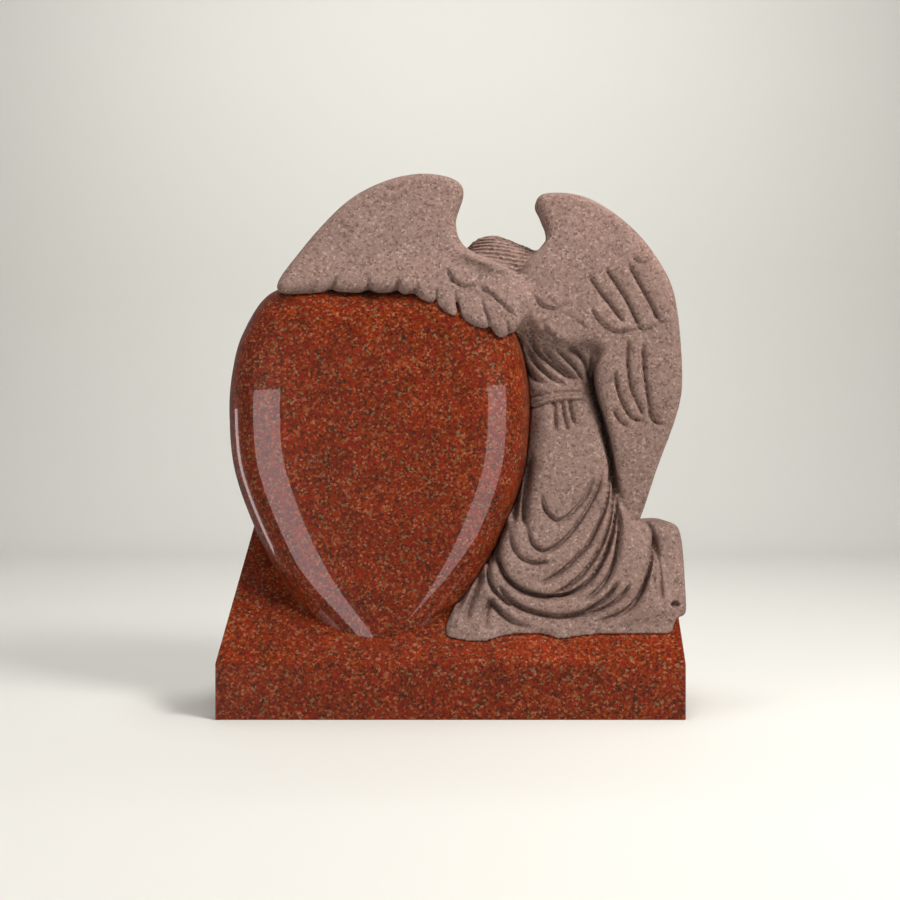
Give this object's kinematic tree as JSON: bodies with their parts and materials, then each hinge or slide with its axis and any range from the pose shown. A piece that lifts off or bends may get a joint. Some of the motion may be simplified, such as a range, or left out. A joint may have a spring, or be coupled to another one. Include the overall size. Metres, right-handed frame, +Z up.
{
  "type": "heart headstone with angel",
  "caption": "Upright polished heart headstone on a sloped base, with a kneeling angel leaning on it, one wing laid over the heart's top.",
  "frame": {"origin": "centre of the base's underside", "axes": "+Z up, -Y towards the viewer of the heart's front face, +X towards the angel's side"},
  "size_m": [0.6619, 0.24, 0.7751],
  "materials": {
    "polished_red_granite": "polished red granite with dark mica and grey grains",
    "honed_pink_granite": "unpolished carved pinkish-grey granite"
  },
  "bodies": {
    "root": {"heart_stone": "polished_red_granite", "angel": "honed_pink_granite"}
  },
  "joints": []
}
